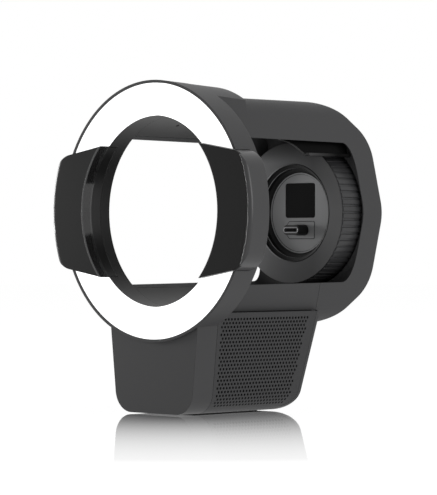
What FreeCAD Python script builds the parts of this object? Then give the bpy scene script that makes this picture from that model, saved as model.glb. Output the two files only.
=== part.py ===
"""Ring-light sensing unit with a docking module, standing on a speaker base.

Frame: +X right, +Y back, +Z up, millimetres.  The origin is the centre of the
foot pad's underside.  The light ring, the bay and the docking module share one
axis along Y.  In this file "d" is a depth behind the ring's front rim and "h"
is a height above that axis.
"""
import FreeCAD, Part
import math
import os

V = FreeCAD.Vector
os.makedirs("parts", exist_ok=True)

# ---------------------------------------------------------------- clearances
fit = 0.1                # clearance between fixed parts
seam = 0.15              # open joint line between outer shells

# ---------------------------------------------------------------- light ring
rim_r = 52.5             # outer radius of the ring at its rim
ring_draft = 0.049       # outer wall loses this much radius per mm of depth
band_d = 12.4            # depth of the ring's band
band_wall = 1.9
rim_edge = 1.2           # bare rim outside the light
light_r = rim_r - rim_edge
light_d = 0.4            # light face behind the rim
light_wall = 1.4
light_lip = 2.8          # depth of the light's inner lip
web_wall = 2.0
sleeve_r = 39.0          # clear radius of the sleeve behind the light
light_overlap = 0.6      # the light reaches this far over the sleeve
light_in_r = sleeve_r - light_overlap
sleeve_wall = 1.1
sleeve_end_d = 13.5
led_board_d = 6.4
led_board_wall = 1.2
led_size = 2.8
led_height = 0.8
leds_per_board = 9

# ---------------------------------------------------------------- pods
pod_stand = 4.7          # a pod stands this far out of the rim
pod_r = rim_r + pod_stand
pod_in_r = sleeve_r      # inner radius at the pod's front
pod_front_d = -2.0
pod_back_d = 8.3
web_gap = 0.2            # between a pod's back and the ring's web
web_d = pod_back_d + web_gap
pod_half_h = 26.56       # half height at the inner end
pod_edge_x = 28.2        # where that half height is measured
pod_edge_slope = 0.165   # fall of the upper edge towards the outside
pod_corner_r = 10.0
pod_round = 1.5          # round between front and side
pod_wall = 1.8
window_wall = 1.0
camera_r = 5.2
camera_inset = 1.8       # camera axis inside the middle of the pod
camera_x = (sleeve_r + pod_r) / 2 - camera_inset

# ---------------------------------------------------------------- housing
apex_x = 32.4            # half width where the side facets meet
facet_slope = 0.239      # side facets lean in by this much per mm of height
apex_round = 20.0
crest_h = 46.0           # half height of the housing
crest_round = 9.1
saddle_rise = 9.4        # the saddle behind the band is turned about an axis this far up
saddle_low_h = 25.0
saddle_d = 31.6
housing_d = 103.2        # depth of the whole unit
rear_slope_d = 20.6      # sloped rear corner in side view: its reach along the depth
rear_slope_h = 15.5      # and along the height
rear_upper_r = 31.0      # round between the top and that slope
rear_lower_r = 16.0      # round between the slope and the back
housing_back_wall = 3.8

# ---------------------------------------------------------------- bay
bay_step = 0.1           # the bay's front edge outside the sleeve
bay_r = sleeve_r + bay_step
bay_draft = 0.006
bay_d = 91.7             # depth of the bay's floor
bay_corner_r = 6.4
liner_wall = 1.2
liner_edge_deg = 3.25    # the liners end this far from the side windows
liner_end_gap = 7.6      # liners end before the bay's floor
liner_end_d = bay_d - liner_end_gap
rail_front_d = 50.0      # where a guide rail leaves the ceiling
rail_step_d = 64.9       # where it reaches its lower edge
rail_drop = 5.6          # lower edge of the guide rails below the window's upper edge
rail_inset = 2.6         # plate behind the side facet
rail_wall = 1.4
rail_lip = 0.9
rail_lip_inset = 0.8     # lip behind the side facet
rail_end_d = bay_d - bay_corner_r + 0.4
rail_side_h = 12.0       # height of a rail's plate, trimmed by the ceiling

# ---------------------------------------------------------------- base
neck_d = 72.2            # joint line between the neck and the housing
ledge_h = -40.2          # top of the base
base_h = -81.0           # bottom of the base shell
base_front_d = 1.2
base_mid_x = 24.8        # half width at base_mid_h
base_mid_h = -47.2
base_draft = 0.1045
base_corner_r = 9.2
base_wall = 1.6
base_rear_d = 71.9       # rear of the base at the ledge
base_rear_slope = 0.24   # the rear leans forward by this much per mm down
cover_wall = 1.5
grille_wall = 1.2
base_lean = math.atan(base_rear_slope)
base_low_d = base_rear_d + base_rear_slope * (base_h - ledge_h)
base_turn_d = base_low_d - base_corner_r / math.tan((math.pi / 2 + base_lean) / 2)
pad_x = 10.0
pad_d0 = 13.6
pad_margin = 2.46        # flat left free behind the pad
pad_d1 = base_turn_d - pad_margin
pad_wall = 1.2
pad_proud = 0.4
pad_corner_r = 3.0
battery_x = 7.5
battery_d0 = 16.0
battery_d1 = 50.0
battery_height = 30.0
board_x = 15.0
board_wall = 1.2
board_gap = 4.5          # main board's upper edge below the rim
chip_height = 1.1
speaker_h = -58.0
speaker_d = 36.0
speaker_r = 14.0

# ---------------------------------------------------------------- module
face_d = 81.2            # front face of the docking module
face_r = 29.6
face_wall = 1.2
face_edge = 0.4          # thickness of the face in front of the grip ring
face_width = 9.0
face_dish = 1.6          # the face's inner edge lies this much deeper than its outer edge
face_lip = 0.4           # thickness of that inner edge
inner_d = face_d + face_dish
face_back_d = inner_d + face_wall
recess_r = face_r - face_width
step_r = recess_r - 1.7
step_d = face_d + 3.0
disc_r = step_r - 1.8
disc_d = face_d + 6.2
disc_wall = 1.2
disc_rim = 0.7
knurl_step = 0.1         # the knurled ring stands out of the face ring
knurl_r = face_r + knurl_step
knurl_depth = 0.45
knurl_count = 64
knurl_end_gap = 2.1      # behind the grip ring
knurl_end_d = housing_d - housing_back_wall - knurl_end_gap
knurl_gap = 0.15         # between the face and the grip ring
knurl_wall = 3.1
barrel_r = knurl_r - knurl_wall
barrel_wall = 1.8
running = 0.06           # radial running clearance of the knurled ring
display_x = disc_r
display_z = 0.86 * disc_r
display_h = 0.31 * disc_r
display_r = 1.2
island_x = 0.96 * disc_r
island_z = 0.433 * disc_r
island_h = -0.421 * disc_r
island_chamfer = 2.0
plug_x = 8.3
plug_z = 2.5
plug_reach = 6.0
boot_x = 9.3             # moulded boot round the plug's shell
boot_z = 4.3
boot_back = 0.35         # boot's front behind the shell's front
plug_wall = 0.3


# ---------------------------------------------------------------- placing
axis_z = pad_proud - base_h          # ring axis above the table
rim_y = -(pad_d0 + pad_d1) / 2       # front rim of the ring


# ---------------------------------------------------------------- helpers
def at(x, d, h):
    """Point from a side position, a depth behind the rim and a height."""
    return V(x, rim_y + d, axis_z + h)


def rod(r, d0, d1, x=0.0, h=0.0):
    """Cylinder along Y from depth d0 to d1."""
    return Part.makeCylinder(r, d1 - d0, at(x, d0, h), V(0, 1, 0))


def turned(profile):
    """Solid of revolution about the ring axis from (radius, depth) points."""
    points = [at(r, d, 0) for r, d in profile]
    face = Part.Face(Part.makePolygon(points + points[:1]))
    return face.revolve(at(0, 0, 0), V(0, 1, 0), 360)


def tube(r0, r1, d0, d1):
    """Ring with inner radius r0 and outer radius r1."""
    return turned([(r0, d0), (r1, d0), (r1, d1), (r0, d1)])


def block(x0, x1, d0, d1, h0, h1):
    """Box between two sides, two depths and two heights."""
    return Part.makeBox(x1 - x0, d1 - d0, h1 - h0, at(x0, d0, h0))


def outline(corners, place):
    """Closed face through (u, v, radius) corners, each rounded by its radius."""
    edges = []
    ends = []
    count = len(corners)
    for i in range(count):
        before = V(*corners[i - 1][:2], 0)
        here = V(*corners[i][:2], 0)
        after = V(*corners[(i + 1) % count][:2], 0)
        radius = corners[i][2]
        back = (before - here).normalize()
        forth = (after - here).normalize()
        half = back.getAngle(forth) / 2
        reach = radius / math.tan(half) if radius else 0.0
        start = here + back * reach
        end = here + forth * reach
        ends.append((start, end))
        if radius:
            middle_dir = (back + forth).normalize()
            middle = here + middle_dir * (radius / math.sin(half) - radius)
            arc = [place(p.x, p.y) for p in (start, middle, end)]
            edges.append(Part.Arc(*arc).toShape())
    for i in range(count):
        start = ends[i][1]
        end = ends[(i + 1) % count][0]
        if start.distanceToPoint(end) > 1e-6:
            edges.append(Part.makeLine(place(start.x, start.y), place(end.x, end.y)))
    wire = Part.Wire(Part.__sortEdges__(edges))
    return Part.Face(wire)


def front_prism(corners, d0, d1):
    """Outline in the front view (x, h, radius), extruded from d0 to d1."""
    face = outline(corners, lambda x, h: at(x, d0, h))
    return face.extrude(V(0, d1 - d0, 0))


def side_prism(corners, half_x):
    """Outline in the side view (d, h, radius), extruded over both sides."""
    face = outline(corners, lambda d, h: at(-half_x, d, h))
    return face.extrude(V(2 * half_x, 0, 0))


def mirrored(shape):
    """The same piece on the left side."""
    return shape.mirror(V(0, 0, 0), V(1, 0, 0))


def save(name, shape):
    """Write one node; keeps only its solids."""
    solids = shape.Solids
    result = solids[0] if len(solids) == 1 else Part.makeCompound(solids)
    result.exportStep("parts/" + name + ".step")
    print(name, len(solids), round(sum(s.Volume for s in solids)))


# ---------------------------------------------------------------- sections
far = 200.0


def facet_x(h):
    """Half width between the side facets at a height."""
    return apex_x - facet_slope * abs(h)


def facet_prism(inset, h0, h1, d0, d1):
    """Space between the side facets, from h0 to h1 on one side of the axis."""
    x0 = facet_x(h0) - inset
    x1 = facet_x(h1) - inset
    return front_prism([(x0, h0, 0), (x1, h1, 0), (-x1, h1, 0), (-x0, h0, 0)], d0, d1)


def base_x(h):
    """Half width of the base at a height."""
    return base_mid_x + base_draft * (h - base_mid_h)


def base_section(inset, top_h, d0, d1):
    """Prism of the base's front outline, drawn in by inset."""
    low_h = base_h + inset
    top = base_x(top_h) - inset
    low = base_x(low_h) - inset
    corner = base_corner_r - inset
    corners = [(top, top_h, 0), (low, low_h, corner), (-low, low_h, corner), (-top, top_h, 0)]
    return front_prism(corners, d0, d1)


def rear_line(h, inset):
    """Depth of the base's leaning rear face, drawn in by inset."""
    return base_rear_d - inset * math.hypot(1, base_rear_slope) + base_rear_slope * (h - ledge_h)


def base_profile(inset):
    """Everything in front of the base's rear face, with that face drawn in by inset."""
    low_h = base_h + inset
    corner = base_corner_r - inset
    body = side_prism([(rear_line(0, inset), 0, 0), (rear_line(low_h, inset), low_h, corner),
                       (-far / 4, low_h, 0), (-far / 4, 0, 0)], far / 4)
    return body.fuse(block(-far / 4, far / 4, -far / 4, base_turn_d, base_h - 1, 0)) if inset else body


# ---------------------------------------------------------------- pods
def pod_outline(grow, d0, d1):
    """Prism of the right pod's sloped edges and rounded corners."""
    near_x = sleeve_r * 0.5
    far_x = pod_r + grow
    near_h = pod_half_h + pod_edge_slope * (pod_edge_x - near_x) + grow
    far_h = pod_half_h - pod_edge_slope * (far_x - pod_edge_x) + grow
    wedge = front_prism([(near_x, -near_h, 0), (far_x + 6, -far_h + 1, 0), (far_x + 6, far_h - 1, 0),
                         (near_x, near_h, 0)], d0, d1)
    body = wedge.common(rod(pod_r + grow, d0, d1))
    corner_edges = []
    for edge in body.Edges:
        start = edge.Vertexes[0].Point
        end = edge.Vertexes[-1].Point
        along_y = abs(start.x - end.x) < 1e-6 and abs(start.z - end.z) < 1e-6
        if along_y and start.x > pod_edge_x:
            corner_edges.append(edge)
    return body.makeFillet(pod_corner_r, corner_edges)


def pod_blank():
    """Outer form of the right pod: turned outside, funnel inside."""
    arc_low = pod_r - pod_round * (1 - math.sqrt(0.5))
    profile = [at(pod_in_r, pod_front_d, 0), at(pod_r - pod_round, pod_front_d, 0)]
    arc_mid = at(arc_low, pod_front_d + pod_round * (1 - math.sqrt(0.5)), 0)
    arc_end = at(pod_r, pod_front_d + pod_round, 0)
    edges = [Part.makeLine(profile[0], profile[1]), Part.Arc(profile[1], arc_mid, arc_end).toShape()]
    rest = [arc_end, at(pod_r, pod_back_d, 0), at(sleeve_r, pod_back_d, 0), at(sleeve_r, light_lip, 0),
            at(light_in_r, light_lip, 0), at(light_in_r, light_lip - 0.8, 0), profile[0]]
    for start, end in zip(rest, rest[1:]):
        edges.append(Part.makeLine(start, end))
    body = Part.Face(Part.Wire(edges)).revolve(at(0, 0, 0), V(0, 1, 0), 360)
    return body.common(pod_outline(0, pod_front_d - 1, pod_back_d + 1))


pod_pocket = pod_outline(fit, pod_front_d - 2, pod_back_d + fit)
pod_pockets = pod_pocket.fuse(mirrored(pod_pocket))

pod_front_in = pod_r - pod_round
window_seat = pod_outline(0, pod_front_d - 1, pod_front_d + window_wall)
window_back_d = pod_front_d + window_wall
window_seat = window_seat.common(tube(pod_in_r - 2, pod_front_in - 0.2, pod_front_d - 1, window_back_d))
pod_solid = pod_blank()
pod_cavity = pod_outline(-pod_wall, pod_front_d + window_wall + pod_wall, web_d - pod_wall)
pod_cavity = pod_cavity.common(tube(sleeve_r + pod_wall, pod_r - pod_wall, pod_front_d, web_d))
camera_bore = rod(camera_r + fit, pod_front_d, web_d - pod_wall, camera_x)
right_pod = pod_solid.cut(window_seat).cut(pod_cavity).cut(camera_bore)
window_plate = pod_solid.common(window_seat)
window_trim = pod_outline(-0.05, pod_front_d - 1, pod_back_d).common(rod(pod_front_in - 0.25, -5, 9))
right_window = window_plate.common(window_trim)

board_back = web_d - pod_wall - 0.2
pod_board = pod_outline(-pod_wall - 0.6, board_back - 1.0, board_back)
pod_board = pod_board.common(tube(sleeve_r + pod_wall + 0.6, pod_r - pod_wall - 0.6, 0, web_d))
lens_front = pod_front_d + window_wall + 0.3
camera = rod(camera_r, lens_front + 1.2, board_back - 1.0 - fit, camera_x)
camera = camera.fuse(rod(camera_r - 1.0, lens_front, lens_front + 1.3, camera_x))
camera = camera.cut(rod(camera_r - 2.2, lens_front - 1, lens_front + 0.8, camera_x))

save("right_pod", right_pod)
save("left_pod", mirrored(right_pod))
save("right_pod_window", right_window)
save("left_pod_window", mirrored(right_window))
save("right_camera", camera)
save("left_camera", mirrored(camera))
save("right_camera_board", pod_board)
save("left_camera_board", mirrored(pod_board))


# ---------------------------------------------------------------- light ring
def rim_at(d):
    """Outer radius of the ring's band at a depth."""
    return rim_r - ring_draft * d


light_seat_d = light_d + light_wall
channel_r = rim_at(band_d) - band_wall
ring_shell = turned([
    (light_r + fit, 0), (rim_r, 0), (rim_at(band_d), band_d), (channel_r, band_d),
    (channel_r, web_d + web_wall), (sleeve_r + sleeve_wall + fit, web_d + web_wall),
    (sleeve_r + sleeve_wall + fit, light_lip + 0.6), (sleeve_r + 2.2, light_lip + 0.6),
    (sleeve_r + 2.2, web_d), (channel_r, web_d), (channel_r, light_seat_d), (light_r + fit, light_seat_d),
])
base_front = base_section(0, base_mid_h + 12, base_front_d, band_d)
base_hollow = base_section(base_wall, base_mid_h + 12, base_front_d + base_wall, band_d + 1)
base_front = base_front.cut(base_hollow).cut(rod(rim_r - 1.0, -1, band_d + 1))
base_front = base_front.common(block(-far / 4, far / 4, -1, band_d + 1, base_h - 1, 0))
front_shell = ring_shell.fuse(base_front).cut(pod_pockets)
save("front_shell", front_shell)

sleeve = tube(sleeve_r, sleeve_r + sleeve_wall, light_lip + fit, sleeve_end_d)
sleeve = sleeve.cut(pod_pockets.common(rod(far / 4, -5, light_lip + 0.3)))
sleeve = sleeve.cut(pod_pocket.common(tube(sleeve_r, pod_r, -5, pod_back_d + fit)))
sleeve = sleeve.cut(mirrored(pod_pocket.common(tube(sleeve_r, pod_r, -5, pod_back_d + fit))))
save("ring_sleeve", sleeve)

light = turned([
    (light_in_r, light_d + 0.3), (light_in_r + 0.5, light_d), (light_r, light_d), (light_r, light_seat_d),
    (light_in_r + 1.0, light_seat_d), (light_in_r + 1.0, light_lip), (light_in_r, light_lip),
])
light = light.cut(pod_pockets)
led_ring = tube(sleeve_r + 2.6, channel_r - 0.4, led_board_d, led_board_d + led_board_wall)
led_ring = led_ring.cut(pod_pockets)
for name, low, high in (("upper", 0, far / 2), ("lower", -far / 2, 0)):
    half = block(-far / 2, far / 2, -5, 20, low, high)
    save(name + "_light", light.common(half))
    save(name + "_led_board", led_ring.common(half))

led_r = (sleeve_r + channel_r) / 2 + 1.0
led_span = 88.0
leds = []
for centre in (90.0, 270.0):
    for i in range(leds_per_board):
        angle = centre + led_span * (i / (leds_per_board - 1) - 0.5)
        corner = at(led_r - led_size / 2, led_board_d - led_height, -led_size / 2)
        led = Part.makeBox(led_size, led_height, led_size, corner)
        led.rotate(at(0, 0, 0), V(0, 1, 0), -angle)
        leds.append(led)
save("led_chips", Part.makeCompound(leds))


# ---------------------------------------------------------------- housing
def bay_at(d):
    """Radius of the bay at a depth."""
    return bay_r - bay_draft * d


def window_h(radius):
    """Height at which a circle of this radius leaves the housing through a side facet."""
    lean = 1 + facet_slope ** 2
    return (facet_slope * apex_x + math.sqrt(lean * radius ** 2 - apex_x ** 2)) / lean


def bay_space(grow, d0, d1, round_r):
    """The bay as a solid, with a rounded floor corner."""
    wall = bay_at(d1) + grow
    start = at(0, d0, 0)
    corner = at(wall - round_r * (1 - math.sqrt(0.5)), d1 - round_r * (1 - math.sqrt(0.5)), 0)
    points = [start, at(bay_at(d0) + grow, d0, 0), at(wall, d1 - round_r, 0)]
    floor_edge = at(wall - round_r, d1, 0)
    edges = [Part.makeLine(points[0], points[1]), Part.makeLine(points[1], points[2]),
             Part.Arc(points[2], corner, floor_edge).toShape(),
             Part.makeLine(floor_edge, at(0, d1, 0)), Part.makeLine(at(0, d1, 0), start)]
    return Part.Face(Part.Wire(edges)).revolve(at(0, 0, 0), V(0, 1, 0), 360)


def housing_blank(inset, d0):
    """Faceted housing with its large sloped rear corners."""
    top = crest_h - inset
    side = apex_x - inset * math.hypot(1, facet_slope)
    crest_x = side - facet_slope * top
    section = front_prism([
        (side, 0, apex_round), (crest_x, top, crest_round - inset), (-crest_x, top, crest_round - inset),
        (-side, 0, apex_round), (-crest_x, -top, crest_round - inset), (crest_x, -top, crest_round - inset),
    ], d0, housing_d - inset)
    back_d = housing_d - inset
    upper_r = rear_upper_r - inset
    lower_r = rear_lower_r - inset
    slope_d = back_d - rear_slope_d
    slope_h = top - rear_slope_h
    profile = side_prism([
        (d0, top, 0), (slope_d, top, upper_r), (back_d, slope_h, lower_r),
        (back_d, -slope_h, lower_r), (slope_d, -top, upper_r), (d0, -top, 0),
    ], far / 4)
    return section.common(profile)


saddle_front_d = band_d + seam
saddle = turned([
    (0, saddle_front_d), (rim_at(saddle_front_d) - saddle_rise, saddle_front_d),
    (rim_at(saddle_d) - saddle_rise, saddle_d), (0, saddle_d),
])
saddle.translate(V(0, 0, saddle_rise))
saddle = saddle.common(facet_prism(0, saddle_low_h, far / 3, band_d, saddle_d))
spigot = rod(channel_r - fit, web_d + web_wall + fit, band_d + seam)
spigot = spigot.common(facet_prism(0.4, 20, 60, 0, band_d + seam))
bay = bay_space(0, 0, bay_d, bay_corner_r)
sleeve_hole = rod(sleeve_r + sleeve_wall + fit, 0, sleeve_end_d + fit)
module_hole_r = knurl_r + 0.8
module_hole_d = housing_d - housing_back_wall
module_hole = rod(module_hole_r, bay_d - bay_corner_r, module_hole_d)
module_hole = module_hole.fuse(rod(module_hole_r + 0.6, bay_d - bay_corner_r, bay_d + 2.6))
neck_zone = block(-far / 4, far / 4, -5, neck_d, base_h - 5, -10)


window_edge_h = window_h(bay_r)
liner_half = math.atan2(facet_x(window_edge_h), window_edge_h) - math.radians(liner_edge_deg)


def liner_space(side, grow, inside=0.0):
    """Sector of the bay wall that one liner panel covers; side is 1 or -1."""
    angle = liner_half + grow / bay_r
    d1 = liner_end_d + grow
    wedge_x = far * math.sin(angle)
    wedge_h = side * far * math.cos(angle)
    wedge = front_prism([(0, 0, 0), (wedge_x, wedge_h, 0), (-wedge_x, wedge_h, 0)],
                        sleeve_end_d + fit - grow, d1)
    r0 = bay_at(sleeve_end_d)
    r1 = bay_at(d1)
    outer = liner_wall + grow
    d0 = sleeve_end_d
    shell = turned([(r0 - inside, d0), (r0 + outer, d0), (r1 + outer, d1), (r1 - inside, d1)])
    return shell.common(wedge)


liner_pockets = liner_space(1, fit, 1.0).fuse(liner_space(-1, fit, 1.0))
bay_cut = bay.fuse(sleeve_hole).fuse(liner_pockets)
housing = housing_blank(0, band_d + seam).fuse(saddle).fuse(spigot)
housing = housing.cut(neck_zone).cut(bay_cut.fuse(module_hole))
save("main_housing", housing)

slot_d = 29.6
slot_x = 15.6
slot_half = 0.6
slot_reach = 1.0
upper_liner = liner_space(1, 0)
for side in (-1, 1):
    x = side * slot_x
    upper_liner = upper_liner.cut(block(x - slot_half, x + slot_half, slot_d, slot_d + slot_reach, 30, 60))
save("upper_liner", upper_liner)


# ---------------------------------------------------------------- guide rails
rail_h = window_h(bay_at(rail_step_d)) - rail_drop
rail_top = rail_h + rail_side_h


def guide_rail():
    """Right guide rail: a sloped-front plate under the bay's ceiling, with a lip."""
    outer = facet_prism(rail_inset, rail_h, rail_top, rail_front_d - 5, rail_end_d)
    inner = facet_prism(rail_inset + rail_wall, rail_h, rail_top, rail_front_d - 6, rail_end_d + 1)
    plate = outer.cut(inner).common(block(0, far / 4, 0, rail_end_d, rail_h, rail_top))
    lip_in_x = facet_x(rail_h) - rail_inset - 0.2
    lip = block(lip_in_x, far / 4, rail_step_d, rail_end_d, rail_h, rail_h + rail_lip)
    lip = lip.common(facet_prism(rail_lip_inset, rail_h, rail_top, 0, rail_end_d))
    top_h = rail_h + 7.0
    side = side_prism([
        (rail_front_d, top_h, 0), (rail_step_d - 4, rail_h + 2.2, 6), (rail_step_d, rail_h, 0),
        (rail_end_d, rail_h, 0), (rail_end_d, top_h + 4, 0), (rail_front_d, top_h + 4, 0),
    ], far / 4)
    rail = plate.fuse(lip).common(side)
    rail = rail.common(bay_space(-0.25, 0, bay_d - 0.25, bay_corner_r))
    return rail.cut(rod(knurl_r + 1.0, face_d - 1, bay_d))


right_rail = guide_rail()
save("right_guide_rail", right_rail)
save("left_guide_rail", mirrored(right_rail))

# ---------------------------------------------------------------- neck and base
neck = facet_prism(0, -20, ledge_h, band_d + seam, neck_d - seam)
neck_root = rod(channel_r - fit, web_d + web_wall + fit, band_d + seam).common(
    facet_prism(0.4, -28, -46, 0, band_d + seam))
top_plate_h = ledge_h - 2.0
base_outer = base_section(grille_wall + fit, ledge_h, band_d + fit, far / 2)
base_outer = base_outer.common(base_profile(cover_wall + fit))
inner_wall = grille_wall + fit + base_wall
base_inner = base_section(inner_wall, top_plate_h, band_d - 1, far / 2)
chassis = base_outer.cut(base_inner)
pad_top_h = base_h + pad_wall - pad_proud
pad_seat = block(-pad_x - fit, pad_x + fit, pad_d0 - fit, pad_d1 + fit, base_h - 1, pad_top_h)
speaker_holes = Part.makeCylinder(speaker_r - 1, 80, at(-40, speaker_d, speaker_h), V(1, 0, 0))
chassis = chassis.cut(speaker_holes)
base_body = neck.fuse(neck_root).cut(bay_cut).fuse(chassis)
base_body = base_body.cut(pad_seat)
save("base_body", base_body)
lower_liner = liner_space(-1, 0)
save("lower_liner", lower_liner)

grille_skin = base_section(0, ledge_h, band_d + seam, far / 2)
grille_skin = grille_skin.cut(base_section(grille_wall, ledge_h + 1, 0, far))
grille_skin = grille_skin.common(base_profile(cover_wall + seam))
right_grille = grille_skin.common(block(pad_x + 1.6, far / 4, 0, far / 2, base_h - 1, ledge_h))
save("right_grille", right_grille)
save("left_grille", mirrored(right_grille))

rear_cover = base_section(0, ledge_h, band_d + 20, far / 2).common(base_profile(0))
rear_cover = rear_cover.cut(base_profile(cover_wall))
save("rear_cover", rear_cover)

foot_pad = block(-pad_x, pad_x, pad_d0, pad_d1, base_h - pad_proud, pad_top_h)
upright = [e for e in foot_pad.Edges if abs(e.Vertexes[0].Z - e.Vertexes[-1].Z) > 0.5]
foot_pad = foot_pad.makeFillet(pad_corner_r, upright)
save("foot_pad", foot_pad)

# ---------------------------------------------------------------- inside the base
floor_h = base_h + inner_wall + 0.3
battery = block(-battery_x, battery_x, battery_d0, battery_d1, floor_h, floor_h + battery_height)
lengthwise = [e for e in battery.Edges if abs(e.Vertexes[0].Y - e.Vertexes[-1].Y) > 1]
battery = battery.makeFillet(2.0, lengthwise)
save("battery_pack", battery)
board_front = base_front_d + base_wall + 0.3
board_back_d = board_front + board_wall
board_low_h = floor_h + 0.8
board_top_h = -rim_r - board_gap
main_board = block(-board_x, board_x, board_front, board_back_d, board_low_h, board_top_h)
for x, share, size in ((-6, 0.55, 8), (7, 0.70, 5), (8, 0.25, 4)):
    h = board_low_h + share * (board_top_h - board_low_h)
    chip = block(x - size / 2, x + size / 2, board_back_d - 0.1, board_back_d + chip_height - 0.1,
                 h - size / 2, h + size / 2)
    main_board = main_board.fuse(chip)
save("main_board", main_board)


def speaker():
    """Right speaker: basket, cone and magnet turned about the X axis."""
    seat_x = base_x(speaker_h - speaker_r) - inner_wall - 0.6
    profile = [(0, -8.5), (6.5, -8.5), (6.5, -4.5), (speaker_r, -1.6), (speaker_r, 0), (speaker_r - 2.5, 0),
               (4.5, -3.4), (0, -2.4)]
    points = [at(seat_x + x, speaker_d + r, speaker_h) for r, x in profile]
    face = Part.Face(Part.makePolygon(points + points[:1]))
    return face.revolve(at(0, speaker_d, speaker_h), V(1, 0, 0), 360)


right_speaker = speaker()
save("right_speaker", right_speaker)
save("left_speaker", mirrored(right_speaker))

# ---------------------------------------------------------------- docking module
barrel_in = barrel_r - barrel_wall
cable_r = 0.6 * barrel_in
barrel = turned([
    (barrel_in, face_back_d), (barrel_r, face_back_d), (barrel_r, knurl_end_d + 0.3),
    (module_hole_r - fit, knurl_end_d + 0.3), (module_hole_r - fit, module_hole_d - 0.05),
    (cable_r, module_hole_d - 0.05), (cable_r, module_hole_d - 1.6), (barrel_in, module_hole_d - 1.6),
])
save("module_barrel", barrel)

cone_r = knurl_r - knurl_depth - 0.1
cone_depth = face_dish * (cone_r - barrel_r) / face_width
face_ring = turned([
    (recess_r, inner_d), (face_r - 0.15, face_d), (face_r, face_d + 0.15), (face_r, face_d + face_edge),
    (cone_r + 0.1, face_d + face_edge), (barrel_r, face_d + face_edge + cone_depth), (barrel_r, face_back_d),
    (recess_r + 1.2, face_back_d), (recess_r + 1.2, inner_d + face_lip), (recess_r, inner_d + face_lip),
])
save("face_ring", face_ring)


def knurled_ring():
    """Grip ring with straight grooves all round, free to turn on the barrel."""
    front = face_d + face_edge + knurl_gap
    groove_half = math.pi * knurl_r / knurl_count * 0.42
    groove_low = knurl_r - knurl_depth
    points = []
    for i in range(knurl_count):
        middle = 2 * math.pi * i / knurl_count
        for radius, shift in ((knurl_r, -1), (groove_low, -0.7), (groove_low, 0.7), (knurl_r, 1)):
            angle = middle + shift * groove_half / knurl_r
            points.append(at(radius * math.cos(angle), front, radius * math.sin(angle)))
    blank = Part.Face(Part.makePolygon(points + points[:1])).extrude(V(0, knurl_end_d - front, 0))
    bore = rod(barrel_r + running, front - 1, knurl_end_d + 1)
    cone = turned([(barrel_r - 1, front - 1), (cone_r, front - 1), (cone_r, front),
                   (barrel_r, front + cone_depth), (barrel_r - 1, front + cone_depth)])
    return blank.cut(bore).cut(cone)


save("knurled_ring", knurled_ring())

cup_back_d = disc_d + disc_wall + 1.6
cup_front_d = inner_d + face_lip + 0.1
dock_cup = turned([
    (recess_r - fit, cup_front_d), (recess_r + 1.1, cup_front_d), (recess_r + 1.1, face_back_d + 0.1),
    (barrel_in - fit, face_back_d + 0.1), (barrel_in - fit, face_back_d + 1.6),
    (recess_r + 1.1, face_back_d + 1.6), (recess_r + 1.1, cup_back_d), (0, cup_back_d),
    (0, disc_d + disc_wall), (disc_r + 0.3, disc_d + disc_wall), (disc_r + 0.3, disc_d - 0.4),
    (step_r, disc_d - 1.2), (step_r, step_d), (recess_r - fit, step_d - 0.4),
])
plug_body_x = plug_x / 2 + fit
plug_body_z = plug_z / 2 + fit
plug_low_h = island_h - plug_body_z
plug_top_h = island_h + plug_body_z
plug_hole = block(-plug_body_x, plug_body_x, disc_d - 1, cup_back_d + 1, plug_low_h, plug_top_h)
dock_cup = dock_cup.cut(plug_hole)
save("dock_cup", dock_cup)


def rounded_plate(size_x, size_z, corner, centre_h, d0, d1):
    """Plate with rounded corners, facing the front."""
    x = size_x / 2
    z = size_z / 2
    corners = [(x, centre_h + z, corner), (x, centre_h - z, corner), (-x, centre_h - z, corner),
               (-x, centre_h + z, corner)]
    return front_prism(corners, d0, d1)


def island_plate(grow, d0, d1):
    """Plate under the plug, with cut corners on the left."""
    x = island_x / 2 + grow
    z = island_z / 2 + grow
    cut = island_chamfer
    corners = [(x, island_h + z, 0.6), (x, island_h - z, 0.6), (-x + cut, island_h - z, 0.4),
               (-x, island_h - z + cut, 0.4), (-x, island_h + z - cut, 0.4), (-x + cut, island_h + z, 0.4)]
    return front_prism(corners, d0, d1)


dock_disc = turned([
    (0, disc_d), (disc_r - disc_rim, disc_d), (disc_r - disc_rim, disc_d - 0.25), (disc_r, disc_d - 0.25),
    (disc_r, disc_d + disc_wall - 0.02), (0, disc_d + disc_wall - 0.02),
])
dock_disc = dock_disc.cut(rounded_plate(display_x, display_z, display_r, display_h, disc_d - 1, disc_d + 0.8))
boot_hole = rounded_plate(boot_x + 2 * fit, boot_z + 2 * fit, boot_z / 2 + fit - 0.01, island_h,
                          disc_d - 1, disc_d + disc_wall)
dock_disc = dock_disc.cut(island_plate(0, disc_d - 1, disc_d + 0.7)).cut(boot_hole)
save("dock_disc", dock_disc)

glass_gap = 0.08
display = rounded_plate(display_x - 2 * glass_gap, display_z - 2 * glass_gap, display_r - glass_gap,
                        display_h, disc_d + 0.05, disc_d + 0.78)
save("display_window", display)
island = island_plate(-0.12, disc_d - 0.1, disc_d + 0.68).cut(boot_hole)
save("plug_island", island)

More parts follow.
